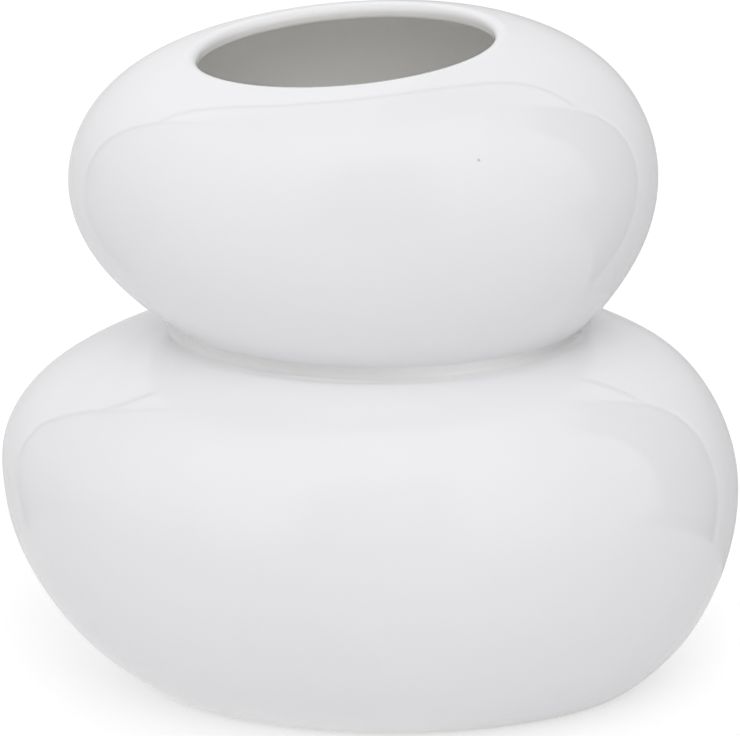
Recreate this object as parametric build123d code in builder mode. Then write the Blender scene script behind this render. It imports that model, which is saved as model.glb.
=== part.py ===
"""Pillow vase: two slip-cast pebbles, one on the other, luted together at the waist.

Millimetres, +Z up, X across the front, Y from front to back. The origin is on the table, under the
middle of the belly. Every level of a pebble is an ellipse. Its left, right and depth reaches follow
smooth domes that run from one ring (foot, waist or mouth) through the belly to the next ring.
"""
from build123d import *
from math import cos, pi, sin
import os

# Foot ring, at the table
foot_left = 74.0
foot_right = 90.0
foot_depth = 57.0
foot_ring_width = 7.0
foot_recess = 1.6

# Lower pebble: its width, even about the middle, its depth reach and the heights where they lie
low_belly_width = 241.0
low_belly_depth = 100.0
low_belly_left_height = 76.0
low_belly_right_height = 63.5

# Waist, where the two flats are luted together
waist_left = 65.0
waist_right = 71.0
waist_depth = 56.5
waist_height = 122.0
waist_inset = 1.0
slip_height = 3.0
slip_proud = 1.2

# Passage: an oval hole cut through both pebbles where they meet
passage_left = 24.0
passage_right = 30.0
passage_depth = 20.0

# Upper pebble: widest reaches and the heights where they lie
up_belly_left = 97.0
up_belly_right = 92.5
up_belly_depth = 81.0
up_belly_left_height = 174.0
up_belly_right_height = 167.5

# Mouth: an oval on a plane that slants down to the left and to the front, with a round lip
mouth_left = 55.6
mouth_right = 39.6
mouth_depth = 39.1
mouth_height = 214.0
mouth_slant = 4.8
mouth_pitch = 4.0
lip_radius = 2.0
lip_flat = 2.5

# Cast thickness
wall = 4.5
floor = 6.0

# Taper of each dome: 0.5 is an ellipse, less is squarer, more is more pointed
low_taper_under = {"left": 0.57, "right": 0.38, "depth": 0.49}
low_taper_over = {"left": 0.40, "right": 0.23, "depth": 0.53}
up_taper_under = {"left": 0.85, "right": 0.90, "depth": 0.51}
up_taper_over = {"left": 0.22, "right": 0.36, "depth": 0.24}

# Height over which the dome below the belly passes into the dome above it
belly_blend = 40.0

# Bands between the levels of a pebble, and of the bead of slip
bands = 19
slip_bands = 4

ways = ("left", "right", "depth")
foot = dict(zip(ways, (foot_left, foot_right, foot_depth)))
waist = dict(zip(ways, (waist_left, waist_right, waist_depth)))
passage = dict(zip(ways, (passage_left, passage_right, passage_depth)))
mouth = dict(zip(ways, (mouth_left, mouth_right, mouth_depth)))
low_belly = dict(zip(ways, (low_belly_width / 2, low_belly_width / 2, low_belly_depth)))
up_belly = dict(zip(ways, (up_belly_left, up_belly_right, up_belly_depth)))
low_belly_mean = (low_belly_left_height + low_belly_right_height) / 2
up_belly_mean = (up_belly_left_height + up_belly_right_height) / 2
low_belly_height = dict(zip(ways, (low_belly_left_height, low_belly_right_height, low_belly_mean)))
up_belly_height = dict(zip(ways, (up_belly_left_height, up_belly_right_height, up_belly_mean)))
low_tapers = (low_taper_under, low_taper_over)
up_tapers = (up_taper_under, up_taper_over)
low_flat_height = waist_height - slip_height / 2
up_flat_height = waist_height + slip_height / 2


def grown(ring, amount):
    """The same ring with every reach made longer by the amount."""
    return {way: reach + amount for way, reach in ring.items()}


def dome(height, belly, belly_height, end, end_height, taper):
    """Reach at a height on a dome that is widest at the belly and passes through an end ring."""
    share = (height - belly_height) / (end_height - belly_height)
    return belly * max(1 - share**2 * (1 - (end / belly) ** (1 / taper)), 0) ** taper


def level_ring(height, rings, heights, tapers):
    """Reaches of a pebble at a height, passing from the dome under the belly into the one over it."""
    low, belly, high = rings
    low_height, belly_height, high_height = heights
    under, over = tapers
    ring = {}
    for way in ways:
        middle = belly_height[way]
        below = dome(height, belly[way], middle, low[way], low_height, under[way])
        above = dome(height, belly[way], middle, high[way], high_height, over[way])
        step = min(max((height - middle) / belly_blend + 0.5, 0), 1)
        share = step**3 * (10 - 15 * step + 6 * step**2)
        ring[way] = (1 - share) * below + share * above
    return ring


def oval(plane, ring):
    """An ellipse face on a plane, from a ring's reaches, drawn as a right and a left half."""
    middle = ((ring["right"] - ring["left"]) / 2, 0)
    width = (ring["right"] + ring["left"]) / 2
    with BuildSketch(plane) as face:
        with BuildLine():
            EllipticalCenterArc(middle, width, ring["depth"], -90, arc_size=180)
            EllipticalCenterArc(middle, width, ring["depth"], 90, arc_size=180)
        make_face()
    return face.sketch


def slanted(height, share):
    """The plane of a level, leaned over by a share of the mouth's slant and pitch."""
    return Plane((0, 0, height)).rotated((mouth_pitch * share, -mouth_slant * share, 0))


def pebble_levels(rings, heights, tapers, lean=0):
    """The ovals of a pebble, closer together near its two end rings, leaning more and more upwards."""
    low_height, _, high_height = heights
    levels = []
    for band in range(bands + 1):
        share = (1 - cos(pi * band / bands)) / 2
        height = low_height + (high_height - low_height) * share
        levels.append(oval(slanted(height, lean * share), level_ring(height, rings, heights, tapers)))
    return levels


# Lower pebble: a closed shell, flat at the waist, on a foot ring with a shallow recess inside it
with BuildPart() as lower_pebble:
    outside = (foot, low_belly, waist)
    outside_heights = (0, low_belly_height, low_flat_height)
    loft(pebble_levels(outside, outside_heights, low_tapers), ruled=True)
    inside = (foot, grown(low_belly, -wall), waist)
    inside_heights = (floor, low_belly_height, low_flat_height - wall)
    loft(pebble_levels(inside, inside_heights, low_tapers), ruled=True, mode=Mode.SUBTRACT)
    low_flat = Plane.XY.offset(low_flat_height)
    extrude(oval(low_flat, passage), amount=-2 * wall, mode=Mode.SUBTRACT)
    extrude(oval(Plane.XY, grown(foot, -foot_ring_width)), amount=foot_recess, mode=Mode.SUBTRACT)
lower_pebble.part.label = "lower_pebble"

# Luting ring: slip between the two flats, squeezed out all round as a low bead
with BuildPart() as luting_ring:
    bead = []
    for band in range(slip_bands + 1):
        turn = pi * band / slip_bands
        plane = Plane.XY.offset(waist_height - slip_height / 2 * cos(turn))
        bead.append(oval(plane, grown(waist, slip_proud * sin(turn))))
    loft(bead, ruled=True)
    extrude(oval(low_flat, passage), amount=slip_height, mode=Mode.SUBTRACT)
luting_ring.part.label = "luting_ring"

# Upper pebble: a shell with a flat floor at the waist and a slanted oval mouth that has a round lip
with BuildPart() as upper_pebble:
    shoulder = grown(mouth, lip_radius + lip_flat)
    outside = (waist, up_belly, shoulder)
    outside_heights = (up_flat_height, up_belly_height, mouth_height)
    loft(pebble_levels(outside, outside_heights, up_tapers, lean=1), ruled=True)
    inside = (grown(waist, -waist_inset), grown(up_belly, -wall), shoulder)
    inside_heights = (up_flat_height + wall, up_belly_height, mouth_height - wall)
    loft(pebble_levels(inside, inside_heights, up_tapers, lean=1), ruled=True, mode=Mode.SUBTRACT)
    up_flat = Plane.XY.offset(up_flat_height)
    extrude(oval(up_flat, passage), amount=2 * wall, mode=Mode.SUBTRACT)
    extrude(oval(slanted(mouth_height, 1), mouth), amount=-2 * wall, mode=Mode.SUBTRACT)
    lip_face = upper_pebble.faces().filter_by(GeomType.PLANE).sort_by(Axis.Z)[-1]
    fillet(lip_face.inner_wires().edges(), lip_radius)
upper_pebble.part.label = "upper_pebble"

os.makedirs("parts", exist_ok=True)
for piece in (lower_pebble, luting_ring, upper_pebble):
    export_step(piece.part, f"parts/{piece.part.label}.step")
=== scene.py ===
"""A white pillow vase: two slip-cast pebbles, luted one on the other and glazed all over.

Metres, +Z up, X across the front, Y from front to back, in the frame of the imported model.
"""
import bpy
import numpy as np
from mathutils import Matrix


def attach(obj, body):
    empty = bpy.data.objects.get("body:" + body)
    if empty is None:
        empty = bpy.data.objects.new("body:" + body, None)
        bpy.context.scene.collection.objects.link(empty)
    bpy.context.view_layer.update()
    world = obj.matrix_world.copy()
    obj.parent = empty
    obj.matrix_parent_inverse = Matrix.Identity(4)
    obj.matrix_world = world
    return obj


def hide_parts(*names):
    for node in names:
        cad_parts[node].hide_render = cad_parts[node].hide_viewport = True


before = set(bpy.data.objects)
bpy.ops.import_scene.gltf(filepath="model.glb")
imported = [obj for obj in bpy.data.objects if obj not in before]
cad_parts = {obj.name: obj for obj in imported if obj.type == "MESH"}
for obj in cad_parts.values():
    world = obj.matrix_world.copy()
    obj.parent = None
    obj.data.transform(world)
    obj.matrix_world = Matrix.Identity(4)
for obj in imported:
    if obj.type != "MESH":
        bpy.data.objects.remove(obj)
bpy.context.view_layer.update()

# Lower pebble: a hollow earthenware form, slip-cast in a plaster mould and open at the top. It stands
# on a bare foot ring, where the glaze was wiped off so that it would not stick to the kiln shelf.
# Its belly sags a little to the right, as soft clay does. Rings are left, right and depth reaches in mm.
AROUND = 256
MM = 0.001

foot = np.array([74.0, 90.0, 57.0])
low_belly = np.array([120.5, 120.5, 100.0])
low_belly_height = np.array([76.0, 63.5, 69.75])
low_taper_under = np.array([0.57, 0.38, 0.49])
low_taper_over = np.array([0.40, 0.23, 0.53])
waist = np.array([65.0, 71.0, 56.5])
waist_height = 122.0
slip_height = 3.0
low_flat_height = waist_height - slip_height / 2
passage = np.array([24.0, 30.0, 20.0])
wall = 4.5
floor_height = 6.0
foot_ring_width = 7.0
foot_recess = 1.6
foot_round = 6.0
foot_slope = np.radians(34.0)
seam_dip = 1.2
seam_width = 4.6
painted_light_width = 26.0
bare_height = 0.1
bare_fade = 0.8
low_middle = (0, 0, 0.068)
sponge_depth = 0.00009

turn = np.linspace(0, 2 * np.pi, AROUND, endpoint=False)


def near(angle, width):
    """1 at an angle of the turn, falling off as exp(-(away / width)^2), both in degrees."""
    away = (np.degrees(turn) - angle + 180) % 360 - 180
    return np.exp(-((away / width) ** 2))


def smoother(x):
    """0 below 0, 1 above 1, and 10x^3 - 15x^4 + 6x^5 between them."""
    x = np.clip(x, 0, 1)
    return x**3 * (10 - 15 * x + 6 * x**2)


def dome(height, belly, belly_height, end, end_height, taper):
    """Reach at a height: belly * (1 - share^2 * (1 - (end / belly)^(1 / taper)))^taper.

    The share is 0 at the belly's height and 1 at the end ring's height, where the reach is the end.
    """
    share = (height - belly_height) / (end_height - belly_height)
    return belly * np.maximum(1 - share**2 * (1 - (end / belly) ** (1 / taper)), 0) ** taper


def pebble_reaches(height, rings, heights, tapers, blend=40.0):
    """Left, right and depth reaches at each height: the dome under the belly passes into the one over it."""
    low, belly, high = rings
    low_height, belly_height, high_height = heights
    under, over = tapers
    height = np.asarray(height)[:, None]
    below = dome(height, belly, belly_height, low, low_height, under)
    above = dome(height, belly, belly_height, high, high_height, over)
    share = smoother((height - belly_height) / blend + 0.5)
    return (1 - share) * below + share * above


def rows_between(start, stop, count):
    """Heights from start to stop, closer together near both ends: the share is (1 - cos(pi t)) / 2."""
    return start + (stop - start) * (1 - np.cos(np.pi * np.linspace(0, 1, count))) / 2


def ovals(reaches, height, slant=0.0, pitch=0.0, along=0.0):
    """One ellipse for each row: its middle at x = (right - left) / 2, half as wide as left + right.

    A row's plane is turned by its slant about Y and its pitch about X, and moved along its normal.
    """
    rows = len(reaches)
    left, right, depth = (reaches[:, way, None] for way in range(3))
    u = (right - left) / 2 + (right + left) / 2 * np.cos(turn)
    v = depth * np.sin(turn)
    tau, kappa, height, along = (np.broadcast_to(a, rows)[:, None] for a in (slant, pitch, height, along))
    x = u * np.cos(tau) - along * np.sin(tau)
    y = v * np.cos(kappa) - np.sin(kappa) * (u * np.sin(tau) + along * np.cos(tau))
    z = height + np.cos(kappa) * (u * np.sin(tau) + along * np.cos(tau)) + v * np.sin(kappa)
    return np.stack([x, y, z], axis=2) * MM


def hand_waves(points, middle, size):
    """Moves points to and from the middle by size * the sum of height * sin(pace * way . point + start).

    This is the slow unevenness of a surface that was sponged by hand: seven plane waves, 21 to 53 mm long.
    """
    pace = 1.35
    ways = np.array([[52, 31, 64], [-61, 70, 38], [88, -47, 83], [-34, -96, 105], [120, 60, -70],
                     [150, -110, 105], [-95, 160, -120]], dtype=float)
    starts = np.array([0.4, 2.1, 4.0, 5.2, 1.3, 0.9, 3.3])
    heights = np.array([1.0, 0.9, 0.6, 0.45, 0.35, 0.25, 0.25])
    wave = np.sin(points @ ways.T * pace + starts) @ heights
    away = points - np.array(middle)
    away = away / np.linalg.norm(away, axis=2, keepdims=True)
    return points + away * (wave * size)[:, :, None]


def skin(name, grid, looped, masks):
    """A mesh object on a grid of rows and columns, with quads between neighbours.

    The last column meets the first. The last row meets the first where the profile is looped,
    and otherwise each end row is closed by a fan to its own middle point. A mask becomes an attribute.
    """
    rows, columns = grid.shape[:2]
    index = np.arange(rows * columns).reshape(rows, columns)
    lower = index if looped else index[:-1]
    upper = np.roll(index, -1, axis=0) if looped else index[1:]
    quads = np.stack([lower, np.roll(lower, -1, axis=1), np.roll(upper, -1, axis=1), upper], axis=2).reshape(-1, 4)
    points = grid.reshape(-1, 3)
    values = {key: np.broadcast_to(value, (rows, columns)).ravel() for key, value in masks.items()}
    corners, sizes = quads.ravel(), np.full(len(quads), 4)
    if not looped:
        poles = grid[[0, -1]].mean(axis=1)
        first, last = len(points), len(points) + 1
        points = np.concatenate([points, poles])
        values = {key: np.concatenate([value, value[[0, -1]]]) for key, value in values.items()}
        start = np.stack([np.full(columns, first), np.roll(index[0], -1), index[0]], axis=1)
        stop = np.stack([np.full(columns, last), index[-1], np.roll(index[-1], -1)], axis=1)
        corners = np.concatenate([corners, start.ravel(), stop.ravel()])
        sizes = np.concatenate([sizes, np.full(2 * columns, 3)])
    mesh = bpy.data.meshes.new(name)
    mesh.vertices.add(len(points))
    mesh.vertices.foreach_set("co", points.ravel())
    mesh.loops.add(len(corners))
    mesh.loops.foreach_set("vertex_index", corners)
    mesh.polygons.add(len(sizes))
    mesh.polygons.foreach_set("loop_start", np.concatenate([[0], np.cumsum(sizes)[:-1]]))
    mesh.polygons.foreach_set("use_smooth", np.ones(len(sizes), dtype=bool))
    mesh.update(calc_edges=True)
    for key, value in values.items():
        mesh.attributes.new(key, "FLOAT", "POINT").data.foreach_set("value", value)
    mesh.validate()
    piece = bpy.data.objects.new(name, mesh)
    bpy.context.scene.collection.objects.link(piece)
    return piece


class Wire:
    """A socket of a node tree. Arithmetic on it adds Math nodes, and node() adds any other node."""

    def __init__(self, tree, socket=None):
        self.tree, self.socket = tree, socket

    def node(self, kind, settings=(), output=0, **inputs):
        """A new node: its settings first, then the values or wires of its sockets, by name or by i + number."""
        made = self.tree.nodes.new(kind)
        for key, value in dict(settings).items():
            setattr(made, key, value)
        for key, value in inputs.items():
            at = int(key[1:]) if key[0] == "i" and key[1:].isdigit() else key.replace("_", " ")
            if isinstance(value, Wire):
                self.tree.links.new(value.socket, made.inputs[at])
            else:
                made.inputs[at].default_value = value
        return Wire(self.tree, made.outputs[output] if made.outputs else None)

    def math(self, operation, a, b=0.0):
        """A Math node on two values or wires."""
        return self.node("ShaderNodeMath", {"operation": operation}, i0=a, i1=b)

    def __add__(self, other):
        return self.math("ADD", self, other)

    def __radd__(self, other):
        return self.math("ADD", other, self)

    def __sub__(self, other):
        return self.math("SUBTRACT", self, other)

    def __rsub__(self, other):
        return self.math("SUBTRACT", other, self)

    def __mul__(self, other):
        return self.math("MULTIPLY", self, other)

    def __rmul__(self, other):
        return self.math("MULTIPLY", other, self)

    def between(self, low, high):
        """0 where this is at or below low, 1 at or above high, smooth between them."""
        smooth = {"interpolation_type": "SMOOTHSTEP"}
        return self.node("ShaderNodeMapRange", smooth, Value=self, From_Min=low, From_Max=high)

    def mixed(self, a, b):
        """Colour a where this is 0 and colour b where it is 1."""
        colours = [c if isinstance(c, Wire) else (*c, 1) for c in (a, b)]
        return self.node("ShaderNodeMix", {"data_type": "RGBA"}, output=2, i0=self, i6=colours[0], i7=colours[1])

    def noise(self, where, scale, detail=2.0):
        """A Noise Texture's value, about 0.5 on average."""
        return self.node("ShaderNodeTexNoise", Vector=where, Scale=scale, Detail=detail)


low_rings = (foot, low_belly, waist)
low_inner_rings = (foot, low_belly - wall, waist)
low_tapers = (low_taper_under, low_taper_over)
low_ends = (0, low_belly_height, low_flat_height)
low_inner_ends = (floor_height, low_belly_height, low_flat_height - wall)

# The foot's outer edge is an arc from the table up to the wall's own slope
turned = np.linspace(0, foot_slope, 10)
round_height = foot_round * (1 - np.cos(turned))
round_out = foot_round * (np.sin(turned) - np.tan(foot_slope / 2))
wall_at_round = pebble_reaches(round_height[-1:], low_rings, low_ends, low_tapers)
round_fit = (wall_at_round - foot - round_out[-1]) * ((turned / foot_slope) ** 2)[:, None]

outer = rows_between(round_height[-1], low_flat_height, 120)[1:]
inner = rows_between(low_flat_height - wall, floor_height, 70)
recess_ring = foot - foot_ring_width
under_shares = np.array([0.15, 0.5, 0.85, 0.985])
floor_shares = under_shares[::-1]

# Rows from the middle of the underside, round the outside and the rim, to the middle of the floor inside:
# recess, foot ring, foot edge, outside, rim with the cut passage, inside wall, inside floor.
# Steps of 0.1 to 0.4 mm soften the edges.
low_parts = [
    (under_shares[:, None] * recess_ring, np.full(4, foot_recess)),
    (recess_ring + np.array([[-0.2], [0.0], [0.3]]), np.array([foot_recess - 0.1, 0.4, 0.0])),
    (foot + round_out[:, None] + round_fit, round_height),
    (pebble_reaches(outer, low_rings, low_ends, low_tapers), outer),
    (np.stack([waist - 0.4, waist - 2.6, waist - 3.0, passage + 0.4, passage, passage]),
     low_flat_height - np.array([0.0, 0.0, 0.0, 0.0, 0.4, wall - 0.1])),
    (pebble_reaches(inner, low_inner_rings, low_inner_ends, low_tapers), inner),
    (floor_shares[:, None] * foot, np.full(4, floor_height)),
]
low_reaches = np.concatenate([part[0] for part in low_parts])
low_heights = np.concatenate([part[1] for part in low_parts])
low_counts = [len(part[1]) for part in low_parts]
rim_start = sum(low_counts[:4])
low_outside = np.repeat([0.0, 0, 0, 1, 0, 0, 0], low_counts)
low_bare = np.where(np.arange(len(low_heights)) < rim_start, 1 - smoother((low_heights - bare_height) / bare_fade), 0)
low_inside = np.repeat([0.0, 0, 0, 0, 0, 1, 1], low_counts)
past_waist = low_reaches[:, 2] - waist[2]

# At the front the shoulder was pressed down a little when the seam was wiped
seam_front = near(262, 42)
seam_near = smoother(1 - past_waist / seam_width) * low_outside * (low_heights > low_belly_height[2])
seam_near[rim_start:][:2] = 1
low_grid = ovals(low_reaches, low_heights)
low_grid[:, :, 2] -= seam_dip * MM * seam_near[:, None] * seam_front

# The waves fade out near the foot and near the seam, so that the edges there stay true
low_calm = low_outside * smoother((low_heights - 2) / 20) * smoother((low_flat_height - low_heights) / 8)
low_grid = hand_waves(low_grid, low_middle, sponge_depth * low_calm[:, None])

# Painted light: the glaze colour is made whiter beside the seam and just above the foot, towards the front and a
# little to the left, so that these shaded places come out lighter
low_painted_light = (smoother(1 - past_waist / painted_light_width) * low_outside)[:, None] * near(250, 50)
lower = skin("lower_pebble_glazed", low_grid, False,
             {"bare": low_bare[:, None], "inside": low_inside[:, None], "painted_light": low_painted_light})

white_glaze = bpy.data.materials.new("white_glaze")
white_glaze.use_nodes = True
white_glaze.node_tree.nodes.clear()
glaze = Wire(white_glaze.node_tree)
at = glaze.node("ShaderNodeTexCoord", output="Object")
bare = glaze.node("ShaderNodeAttribute", {"attribute_name": "bare"}, output="Fac")
inside = glaze.node("ShaderNodeAttribute", {"attribute_name": "inside"}, output="Fac")
painted_light = glaze.node("ShaderNodeAttribute", {"attribute_name": "painted_light"}, output="Fac")

cloud = glaze.noise(at, 14, 3).between(0.3, 0.7)
grain = glaze.noise(at, 900, 2)
ripple = glaze.noise(at, 62, 1.5)
peel = glaze.noise(at, 260, 2)
cells = glaze.node("ShaderNodeTexVoronoi", {"feature": "F1"}, Vector=at, Scale=42, Randomness=1.0)
pinhole = (1 - cells.between(0.010, 0.018)) * glaze.noise(at, 19, 0).between(0.60, 0.66)
iron_speck = (0.0333, -0.0668, 0.1936)
speck_away = glaze.node("ShaderNodeVectorMath", {"operation": "DISTANCE"}, output=1, i0=at, i1=iron_speck)
pinhole = glaze.math("MAXIMUM", pinhole, 1 - speck_away.between(0.0003, 0.0007))

# The inside is written lighter than the outside: it stands in for the many times that light
# goes to and fro in a deep white hollow
plain_glaze = [(0.848, 0.848, 0.868), (0.862, 0.862, 0.880)]
# Painted light: the whiter colour used beside the seam and just above the foot
painted_light_glaze = (0.945, 0.945, 0.955)
inside_glaze = [(0.980, 0.970, 0.950), (0.990, 0.980, 0.960)]
burnt_pit = (0.34, 0.31, 0.28)
bare_clay = [(0.70, 0.66, 0.60), (0.79, 0.75, 0.69)]
body = painted_light.mixed(cloud.mixed(*plain_glaze), painted_light_glaze)
body = inside.mixed(body, cloud.mixed(*inside_glaze))
body = (pinhole * 0.5).mixed(body, burnt_pit)
clay = grain.between(0.25, 0.75).mixed(*bare_clay)
bare_edge = (bare + grain * 0.3 - 0.15).between(0.35, 0.65)
colour = bare_edge.mixed(body, clay)

rough = 0.015 + cloud * 0.015 + peel * 0.015 + inside * 0.12 + bare_edge * 0.7
relief = ripple * (1 - bare_edge) + peel * 0.06 + grain * bare_edge * 0.25 - pinhole * 0.6
bump = glaze.node("ShaderNodeBump", Height=relief, Strength=0.35, Distance=0.00022)
shader = glaze.node("ShaderNodeBsdfPrincipled", Base_Color=colour, Roughness=rough, Normal=bump, IOR=1.5,
                    Subsurface_Weight=0.15, Subsurface_Radius=(1, 1, 1), Subsurface_Scale=0.0015)
glaze.node("ShaderNodeOutputMaterial", Surface=shader)

lower.data.materials.append(white_glaze)
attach(lower, "root")
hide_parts("lower_pebble")

# Luting ring: thick casting slip, brushed on the scored flats before the upper pebble was set down.
# What squeezed out was wiped into a channel with a finger, and it is glazed with the rest. The channel's
# profile is two cubic curves, each on four points of (mm outside the waist, height).
front_low = [(1.3, 118.79), (0.6, 119.05), (-0.75, 119.3), (-0.9, 121.2)]
front_high = [(-0.9, 121.2), (-0.97, 122.4), (-0.2, 123.4), (0.45, 123.95)]
side_low = [(3.0, 119.7), (1.6, 120.05), (-0.35, 120.4), (-0.45, 121.8)]
side_high = [(-0.45, 121.8), (-0.45, 122.9), (0.0, 123.5), (0.5, 123.95)]


def cubic(points, count):
    """Points on a cubic curve with four control points: (1-u)^3 a + 3(1-u)^2 u b + 3(1-u)u^2 c + u^3 d."""
    u = np.linspace(0, 1, count)[:, None]
    a, b, c, d = np.array(points)
    return (1 - u) ** 3 * a + 3 * (1 - u) ** 2 * u * b + 3 * (1 - u) * u**2 * c + u**3 * d


front_profile = np.concatenate([cubic(front_low, 25), cubic(front_high, 25)[1:]])[:, None]
side_profile = np.concatenate([cubic(side_low, 25), cubic(side_high, 25)[1:]])[:, None]
out, height = np.moveaxis(side_profile + (front_profile - side_profile) * seam_front[:, None], 2, 0)

# The finger left more slip in some places and dug in others, with a low ridge and one small lump
ridge_at, ridge_width = 0.36, 0.07
share = np.linspace(0, 1, len(front_profile))[:, None]
drag = 0.5 * np.sin(3 * turn + 0.7) + 0.3 * np.sin(7 * turn + 2.0) + 0.2 * np.sin(17 * turn + 1.1)
filled = 0.9 * near(294, 24) + 0.5 * near(110, 40) + 0.5 * near(207, 16) + 0.09 * drag
hollow = 1.0 * near(350, 5) + 0.4 * near(330, 14) + 0.55 * near(256, 15)
out = out + np.sin(np.pi * share) ** 2 * (0.95 * filled - hollow)
lump = 1.1 * near(187, 2.2)
out = out + np.exp(-(((share - ridge_at) / ridge_width) ** 2)) * (0.06 + 0.22 * filled + lump)

outward = np.stack([np.cos(turn), np.sin(turn), 0 * turn], axis=1)
cove_grid = ovals(np.repeat(waist[None], len(out), axis=0), 0 * share[:, 0]) + out[:, :, None] * outward * MM
cove_grid[:, :, 2] = height * MM
core_grid = ovals(np.stack([passage, passage]), waist_height + slip_height / 2 * np.array([1.0, -1.0]))
# Painted light: the slip is made whiter at the left front and the right front of the seam, where the crease lies in
# shade
slip_painted_light = 0.9 * near(208, 24) + 0.6 * near(292, 18)
ring = skin("luting_cove", np.concatenate([cove_grid, core_grid]), True, {"painted_light": slip_painted_light})

slip_bead = bpy.data.materials.new("slip_bead")
slip_bead.use_nodes = True
slip_bead.node_tree.nodes.clear()
slip = Wire(slip_bead.node_tree)
at = slip.node("ShaderNodeTexCoord", output="Object")
painted_light = slip.node("ShaderNodeAttribute", {"attribute_name": "painted_light"}, output="Fac")
streak = slip.noise(at, 160, 3)
cloud = slip.noise(at, 28, 2).between(0.3, 0.7)
plain_slip = [(0.834, 0.831, 0.826), (0.858, 0.855, 0.852)]
# Painted light: the whiter slip colour for the crease's shaded places
painted_light_slip = (0.935, 0.932, 0.928)
shade = painted_light.mixed(cloud.mixed(*plain_slip), painted_light_slip)
rough = 0.05 + streak * 0.05
bump = slip.node("ShaderNodeBump", Height=streak, Strength=0.4, Distance=0.0002)
shader = slip.node("ShaderNodeBsdfPrincipled", Base_Color=shade, Roughness=rough, Normal=bump, IOR=1.5)
slip.node("ShaderNodeOutputMaterial", Surface=shader)

ring.data.materials.append(slip_bead)
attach(ring, "root")
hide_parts("luting_ring")

# Upper pebble: a second slip-cast form, smaller and set a little to the left. Its mouth was cut out of
# the top while the clay was leather-hard, on a slant, and the cut edge was sponged to a round lip.
up_belly = np.array([97.0, 92.5, 81.0])
up_belly_height = np.array([174.0, 167.5, 170.75])
up_taper_under = np.array([0.85, 0.90, 0.51])
up_taper_over = np.array([0.22, 0.36, 0.24])
up_flat_height = waist_height + slip_height / 2
waist_inset = 1.0
mouth = np.array([55.6, 39.6, 39.1])
mouth_height = 214.0
mouth_slant = np.radians(4.8)
mouth_pitch = np.radians(4.0)
shoulder_slope = np.radians(11.0)
lip_reach = 4.5
lip_fall = np.radians(15.0)
lip_round = 2.3
under_round = 1.2
up_middle = (0, 0, 0.168)

up_rings = (waist, up_belly, mouth + lip_reach)
up_inner_rings = (waist - waist_inset, up_belly - wall, mouth + lip_reach)
up_tapers = (up_taper_under, up_taper_over)
up_ends = (up_flat_height, up_belly_height, mouth_height)
up_inner_ends = (up_flat_height + wall, up_belly_height, mouth_height - wall)

# The planes of the rows lean over more and more, up to the mouth's own plane
outer = rows_between(up_flat_height, mouth_height, 120)
inner = rows_between(mouth_height - wall, up_flat_height + wall, 70)
outer_lean = (outer - up_flat_height) / (mouth_height - up_flat_height)
inner_lean = (inner - inner[-1]) / (inner[0] - inner[-1])

# The lip: a brow that falls inwards, an arc over its edge, and a smaller arc under it
brow_reach = lip_reach - lip_round * (1 - np.sin(lip_fall))
brow = np.linspace(0, 1, 9)[1:]
brow_bend = np.tan(shoulder_slope) + np.tan(lip_fall)
brow_along = brow_reach * (np.tan(shoulder_slope) * brow - brow_bend * brow**2 / 2)
over = np.linspace(lip_fall, np.pi / 2, 17)[1:]
over_along = brow_along[-1] - lip_round * (np.cos(lip_fall) - np.cos(over))
under = np.linspace(np.pi / 2, np.pi, 15)
under_along = under_round * (1 + np.cos(under)) - wall

up_reaches = np.concatenate([
    pebble_reaches(outer, up_rings, up_ends, up_tapers),
    mouth + lip_reach - brow_reach * brow[:, None],
    mouth + lip_round * (1 - np.sin(over))[:, None],
    mouth + under_round * (1 - np.sin(under))[:, None],
    pebble_reaches(inner, up_inner_rings, up_inner_ends, up_tapers),
    np.stack([passage, passage]),
])
lip_rows = len(brow) + len(over) + len(under)
passage_heights = up_flat_height + wall * np.array([1.0, 0.0])
up_heights = np.concatenate([outer, np.full(lip_rows, mouth_height), inner, passage_heights])
up_lean = np.concatenate([outer_lean, np.ones(lip_rows), inner_lean, np.zeros(2)])
up_along = np.concatenate([0 * outer, brow_along, over_along, under_along, 0 * inner, np.zeros(2)])
up_counts = [len(outer), len(brow), len(over), len(under), len(inner) + 2]
up_outside = np.repeat([1.0, 0, 0, 0, 0], up_counts)

# The lip passes into the inside's lighter colour, sooner at the back: painted light that keeps the back lip light
lip_inside = smoother(np.linspace(-0.6, 1.2, len(over) + len(under))[:, None] + 0.6 * near(90, 75))
up_inside = np.repeat([0.0, 0, 0, 0, 1], up_counts)[:, None] + 0 * turn
up_inside[len(outer) + len(brow):][:len(lip_inside)] = lip_inside

up_grid = ovals(up_reaches, up_heights, mouth_slant * up_lean, mouth_pitch * up_lean, up_along)
up_calm = up_outside * smoother((up_heights - up_flat_height) / 8) * smoother((1 - up_lean) / 0.06)
up_grid = hand_waves(up_grid, up_middle, sponge_depth * up_calm[:, None])
upper = skin("upper_pebble_glazed", up_grid, True, {"bare": 0.0, "inside": up_inside, "painted_light": 0.0})

upper.data.materials.append(white_glaze)
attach(upper, "root")
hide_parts("upper_pebble")

# Table: a plain white sheet that runs on under and behind the vase, with the vase's soft shadow on it.
# It is laid flat and is not part of the vase.
span = 6.0
table_top = -0.0001
white = (1, 1, 1, 1)
paper_grey = (0.58, 0.58, 0.58, 1)
mirrored_grey = 0.80
bearing_from = -0.105
foot_middle, foot_half = (foot[1] - foot[0]) / 2 * MM, (foot[1] + foot[0]) / 2 * MM

# The tent stands round the sheet. These are its walls and seams in degrees: 0 in front, 90 to the right
left_wall_at = (-130, -60)
right_wall_at = (60, 126)
left_seam_at = (-131.2, -128.8)
right_seam_at = (123.4, 125.6)
right_edge_at = (126.4, 129.0)
seam_soft = 0.4

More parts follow.
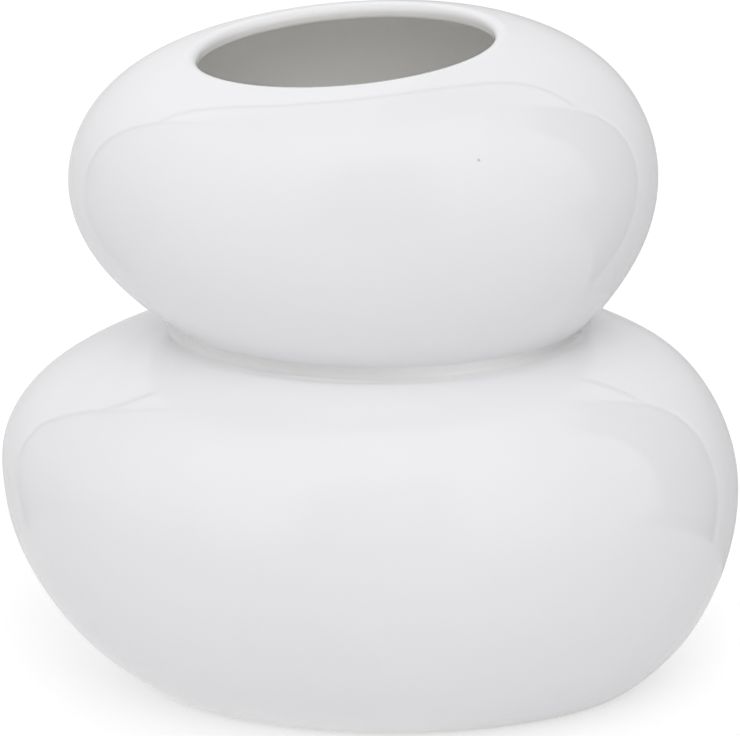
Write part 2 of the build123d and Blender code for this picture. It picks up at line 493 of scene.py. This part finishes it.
corners = [(-span, -span, table_top), (span, -span, table_top), (span, span, table_top), (-span, span, table_top)]
table_mesh = bpy.data.meshes.new("table")
table_mesh.from_pydata(corners, [], [(0, 1, 2, 3)])
table = bpy.data.objects.new("table", table_mesh)
bpy.context.scene.collection.objects.link(table)

white_sheet = bpy.data.materials.new("white_sheet")
white_sheet.use_nodes = True
white_sheet.node_tree.nodes.clear()
sheet = Wire(white_sheet.node_tree)


def past(value, edge, soft):
    """0 before an edge and 1 past it, smooth from edge - soft to edge + soft."""
    return value.between(edge - soft, edge + soft)


def strip(value, low, high, soft):
    """1 between low and high, 0 outside them, with soft edges."""
    return past(value, low, soft) * (1 - past(value, high, soft))


camera_ray = sheet.node("ShaderNodeLightPath", output="Is Camera Ray")
glossy_ray = sheet.node("ShaderNodeLightPath", output="Is Glossy Ray")
through_ray = sheet.node("ShaderNodeLightPath", output="Is Transmission Ray")

# What the glaze mirrors of the sheet: pale grey in front, darker to the left and right beyond two straight
# edges, with the tent's seams running on over it. Bearings are taken about a point just before the vase.
place = sheet.node("ShaderNodeTexCoord", output="Object")
x, y = (sheet.node("ShaderNodeSeparateXYZ", output=axis, Vector=place) for axis in range(2))
bearing = sheet.math("ARCTAN2", x, bearing_from - y) * (180 / np.pi)
past_right = (y + x * 0.327).between(0.112, 0.118)
past_left = (y - x * 0.53).between(0.168, 0.174)
left_side = strip(bearing, *left_wall_at, seam_soft) * 0.18
left_side = left_side + (1 - past(bearing, left_wall_at[0], seam_soft)) * 0.06
left_side = left_side + strip(bearing, *left_seam_at, seam_soft) * 0.22
right_side = strip(bearing, *right_wall_at, seam_soft) * 0.46
right_side = right_side + past(bearing, right_wall_at[1], seam_soft) * 0.16
right_side = right_side + strip(bearing, *right_seam_at, seam_soft) * 0.08
right_side = right_side - strip(bearing, *right_edge_at, seam_soft) * 0.10
foot_across = sheet.math("POWER", (x - foot_middle) * (1 / foot_half), 2.0)
foot_deep = sheet.math("POWER", y * (1 / (foot[2] * MM)), 2.0)
foot_away = sheet.math("SQRT", foot_across + foot_deep)
# Painted shadow: the mirrored image is darker just round the right of the foot, where the vase would shade the sheet
painted_contact_shadow = (1 - foot_away.between(1.0, 1.45)) * x.between(0.0, 0.06) * 0.10
mirrored = mirrored_grey - past_left * left_side - past_right * right_side - x.between(0.0, 0.10) * 0.05 - painted_contact_shadow

# The sheet glows a little, and more where the camera sees it, so that it is white away from the vase
paper = sheet.node("ShaderNodeBsdfDiffuse", Color=paper_grey)
lift = 0.31 + sheet.math("MAXIMUM", camera_ray, through_ray) * 0.18
glow = sheet.node("ShaderNodeEmission", Color=white, Strength=lift)
lit = sheet.node("ShaderNodeAddShader", i0=paper, i1=glow)
image = sheet.node("ShaderNodeEmission", Color=white, Strength=mirrored)
surface = sheet.node("ShaderNodeMixShader", i0=glossy_ray, i1=lit, i2=image)
sheet.node("ShaderNodeOutputMaterial", Surface=surface)
table.data.materials.append(white_sheet)

# Light: a white light tent, lit through its walls from the front, from both sides and from behind.
# It is open to the right, has a slit in front for the camera, and is sewn from flat panels of cloth.
tent = bpy.data.worlds.new("light_tent")
bpy.context.scene.world = tent
tent.use_nodes = True
tent.node_tree.nodes.clear()
cloth = Wire(tent.node_tree)
towards = cloth.node("ShaderNodeTexCoord", output="Generated")
x, y, z = (cloth.node("ShaderNodeSeparateXYZ", output=axis, Vector=towards) for axis in range(3))
azimuth = cloth.math("ARCTAN2", x, 0 - y) * (180 / np.pi)
elevation = cloth.math("ARCSINE", z) * (180 / np.pi)

# Each lamp behind the cloth: azimuth, elevation, strength, focus. Its light falls off as cosine^focus.
wall_lights = [(0, 32, 1.92, 14), (0, 50, 2.32, 14), (0, 76, 0.75, 14), (80, 52, 1.2, 14), (-110, 15, 0.96, 4),
               (-60, 25, 0.08, 6), (110, 15, 0.14, 4), (180, 15, 0.60, 4), (180, 50, 0.67, 4)]
soft_light = 0.04
for lamp_azimuth, lamp_elevation, strength, focus in wall_lights:
    a, e = np.radians(lamp_azimuth), np.radians(lamp_elevation)
    lamp_way = (np.sin(a) * np.cos(e), -np.cos(a) * np.cos(e), np.sin(e))
    facing = cloth.node("ShaderNodeVectorMath", {"operation": "DOT_PRODUCT"}, output=1, i0=towards, i1=lamp_way)
    soft_light = soft_light + cloth.math("POWER", cloth.math("MAXIMUM", facing, 0.0), focus) * strength

# What the glaze mirrors of the tent: walls that get brighter upwards, a darker opening and slit, the left wall
# in half shade, the seams as thin lines and a ceiling that is dimmer at the back
off_front = cloth.math("ABSOLUTE", azimuth)
panel_rise = cloth.math("COSINE", (180 - off_front) * (np.pi / 180)) * 1.3
panel_top = cloth.math("ARCTANGENT", panel_rise) * (180 / np.pi)
behind = off_front.between(127.5, 128.5)
above = elevation - panel_top
opening = strip(azimuth - elevation * 0.08, 92, 200, 0.5) * strip(azimuth, *right_wall_at, seam_soft)
opening = opening * (1 - elevation.between(46, 62))
slit = strip(azimuth, -18, 26, 8) * strip(elevation, -30, 60, 10)
left_seam = strip(azimuth, *left_seam_at, seam_soft)
right_seam = strip(azimuth, *right_seam_at, seam_soft)
right_edge = strip(azimuth, *right_edge_at, seam_soft)
top_seam = strip(above, -1.2, 1.2, seam_soft) * behind
left_fade = 1 - (azimuth - left_wall_at[0]) * (1 / (left_wall_at[1] - left_wall_at[0]))
left_wall = strip(azimuth, *left_wall_at, seam_soft) * left_fade * (1 - elevation.between(40, 60))
seams = cloth.math("MINIMUM", left_seam + right_seam + top_seam, 1.0) * (1 - elevation.between(58, 68))
mirrored = cloth.math("MINIMUM", cloth.math("MAXIMUM", 0.76 + elevation * 0.0105, 0.6), 1.5)
mirrored = mirrored * (1 - opening * 0.70) * (1 - slit * 0.5) * (1 - left_wall * 0.35) * (1 - seams * 0.75)
mirrored = mirrored * (1 - past(azimuth, right_wall_at[1], seam_soft) * 0.15) * (1 + right_edge * 0.2)
mirrored = mirrored * (1 - y.between(-0.2, 0.5) * elevation.between(45, 65) * 0.38)

camera_ray = cloth.node("ShaderNodeLightPath", output="Is Camera Ray")
glossy_ray = cloth.node("ShaderNodeLightPath", output="Is Glossy Ray")
through_ray = cloth.node("ShaderNodeLightPath", output="Is Transmission Ray")
seen_white = cloth.math("MAXIMUM", camera_ray, through_ray)
tent_light = soft_light * (1 - glossy_ray) + mirrored * glossy_ray
tent_light = tent_light * (1 - seen_white) + seen_white
light = cloth.node("ShaderNodeBackground", Color=white, Strength=tent_light)
cloth.node("ShaderNodeOutputWorld", Surface=light)

# Camera: a long lens on a stand in front of the vase, 1.5 m away. It is level from side to side and
# looks down by 18 degrees.
aim_height = 0.105
sight = bpy.data.cameras.new("camera")
sight.lens, sight.sensor_width = 224.0, 36.0
sight.clip_end = 50.0
camera = bpy.data.objects.new("camera", sight)
drop = np.radians(18.0)
distance = 1.5
camera.location = (0, -distance * np.cos(drop), aim_height + distance * np.sin(drop))
camera.rotation_euler = (np.pi / 2 - drop, 0, 0)
bpy.context.scene.collection.objects.link(camera)
bpy.context.scene.camera = camera
bpy.context.scene.view_settings.view_transform = "Standard"
